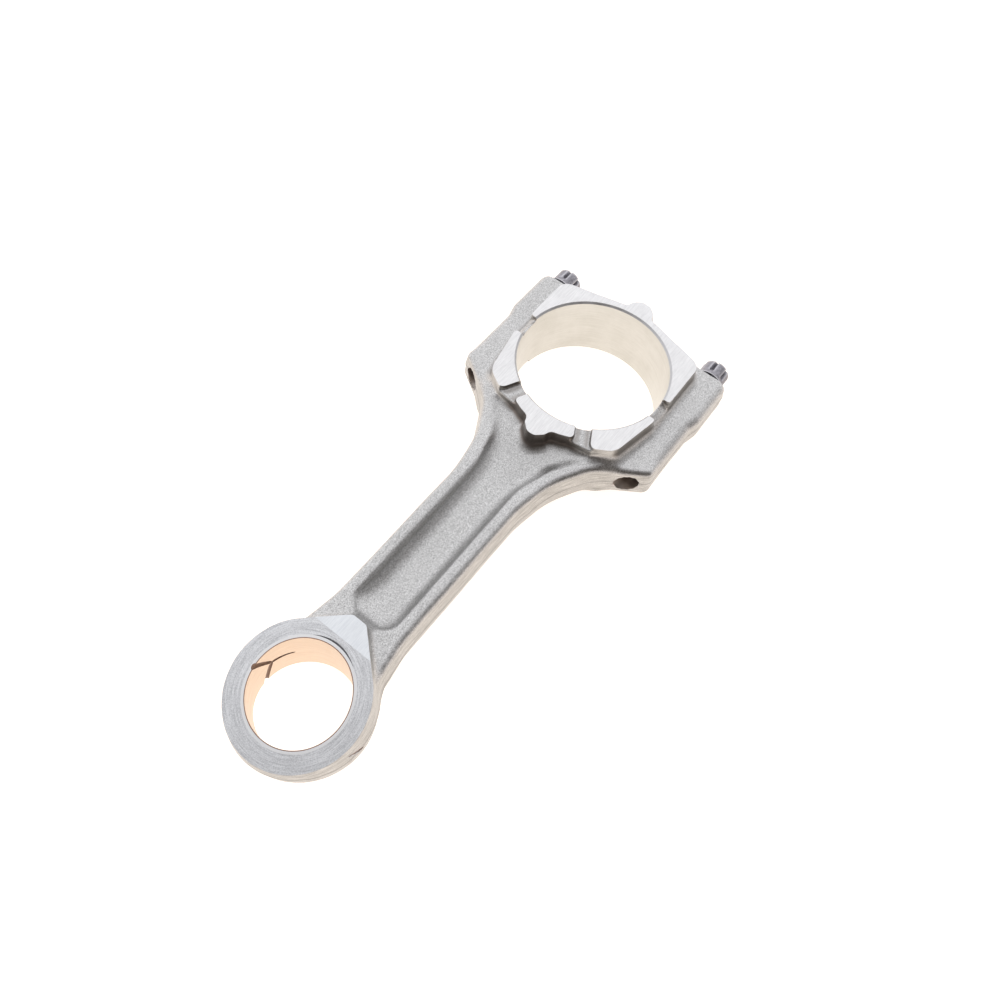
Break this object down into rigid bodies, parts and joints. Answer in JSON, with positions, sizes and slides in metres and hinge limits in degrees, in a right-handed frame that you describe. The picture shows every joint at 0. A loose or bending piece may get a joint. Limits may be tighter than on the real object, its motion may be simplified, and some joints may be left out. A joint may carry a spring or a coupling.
{
  "type": "connecting rod",
  "caption": "Fracture-split engine connecting rod with a bolted cap, drafted I-section shank and a tapered small end with a grooved bush.",
  "frame": {"origin": "centre of the big-end bore at mid-thickness", "axes": "+X along the rod from the big end to the small end, +Y across the two bolts, +Z along the crankpin axis"},
  "size_m": [0.2033, 0.082, 0.0254],
  "materials": {
    "forged_steel": "shot-peened forging, machined thrust faces, bores and small-end faces",
    "bush_bronze": "fine-bored bronze on a steel back",
    "bolt_steel": "dark phosphated steel"
  },
  "bodies": {
    "root": {"rod": "forged_steel", "cap": "forged_steel", "bush": "bush_bronze", "bolt_left": "bolt_steel", "bolt_right": "bolt_steel"}
  },
  "joints": []
}
